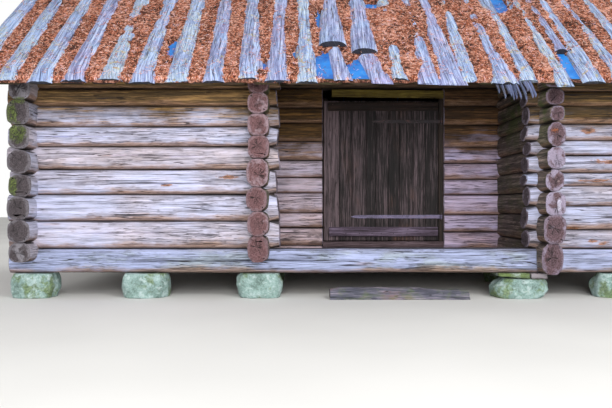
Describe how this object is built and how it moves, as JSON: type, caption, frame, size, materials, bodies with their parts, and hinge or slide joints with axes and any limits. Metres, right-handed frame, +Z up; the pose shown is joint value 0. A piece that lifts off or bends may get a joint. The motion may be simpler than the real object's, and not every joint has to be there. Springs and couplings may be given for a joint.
{
  "type": "log storehouse cabin",
  "caption": "Hewn log cabin on stones with a doorway set back in a porch, a hinged plank door and a roof of split logs.",
  "frame": {"origin": "on the ground under the middle of the building", "axes": "+X along the long walls, to the right of someone facing the door; +Y from the front to the back; +Z up"},
  "size_m": [7.715, 5.201, 4.1644],
  "materials": {
    "log": "matte",
    "log_end": "matte",
    "roof_slab": "matte",
    "under_slab": "matte",
    "floor_wood": "matte",
    "door_wood": "matte",
    "frame_wood": "matte",
    "step_wood": "matte",
    "stone": "matte",
    "sheet": "satin",
    "iron": "matte"
  },
  "bodies": {
    "cabin": {"front_stones": "stone", "back_stones": "stone", "inner_stones": "stone", "slab_stone": "stone", "shim_block": "floor_wood", "step_log": "step_wood", "front_sill": "log", "front_wall_left": "log", "front_wall_right": "log", "back_wall": "log", "side_wall_left": "log", "side_wall_right": "log", "porch_wall_left": "log", "porch_wall_right": "log", "door_wall_left": "log", "door_wall_right": "log", "door_wall_top": "log", "door_sill": "log", "floor_joists": "floor_wood", "floor_left": "floor_wood", "floor_right": "floor_wood", "floor_back": "floor_wood", "porch_floor": "floor_wood", "porch_bearers": "floor_wood", "threshold": "frame_wood", "jamb_left": "frame_wood", "jamb_right": "frame_wood", "lintel_board": "frame_wood", "eave_log_front": "log", "eave_log_back": "log", "purlin_front": "log", "purlin_back": "log", "ridge_log": "log", "under_slabs_front": "under_slab", "under_slabs_back": "under_slab", "roof_sheet_front": "sheet", "roof_sheet_back": "sheet", "cover_slabs_front": "roof_slab", "cover_slabs_back": "roof_slab", "ridge_boards": "roof_slab", "pintle_upper": "iron", "pintle_lower": "iron"},
    "door": {"door_boards": "door_wood", "door_ledge_upper": "door_wood", "door_ledge_lower": "door_wood", "strap_upper": "iron", "strap_lower": "iron"}
  },
  "joints": [
    {"name": "door_hinge", "type": "hinge", "parent": "cabin", "child": "door", "pos_m": [0.605, -0.9393, 1.245], "axis": [0, 0, 1], "range_deg": [0, 100]}
  ]
}
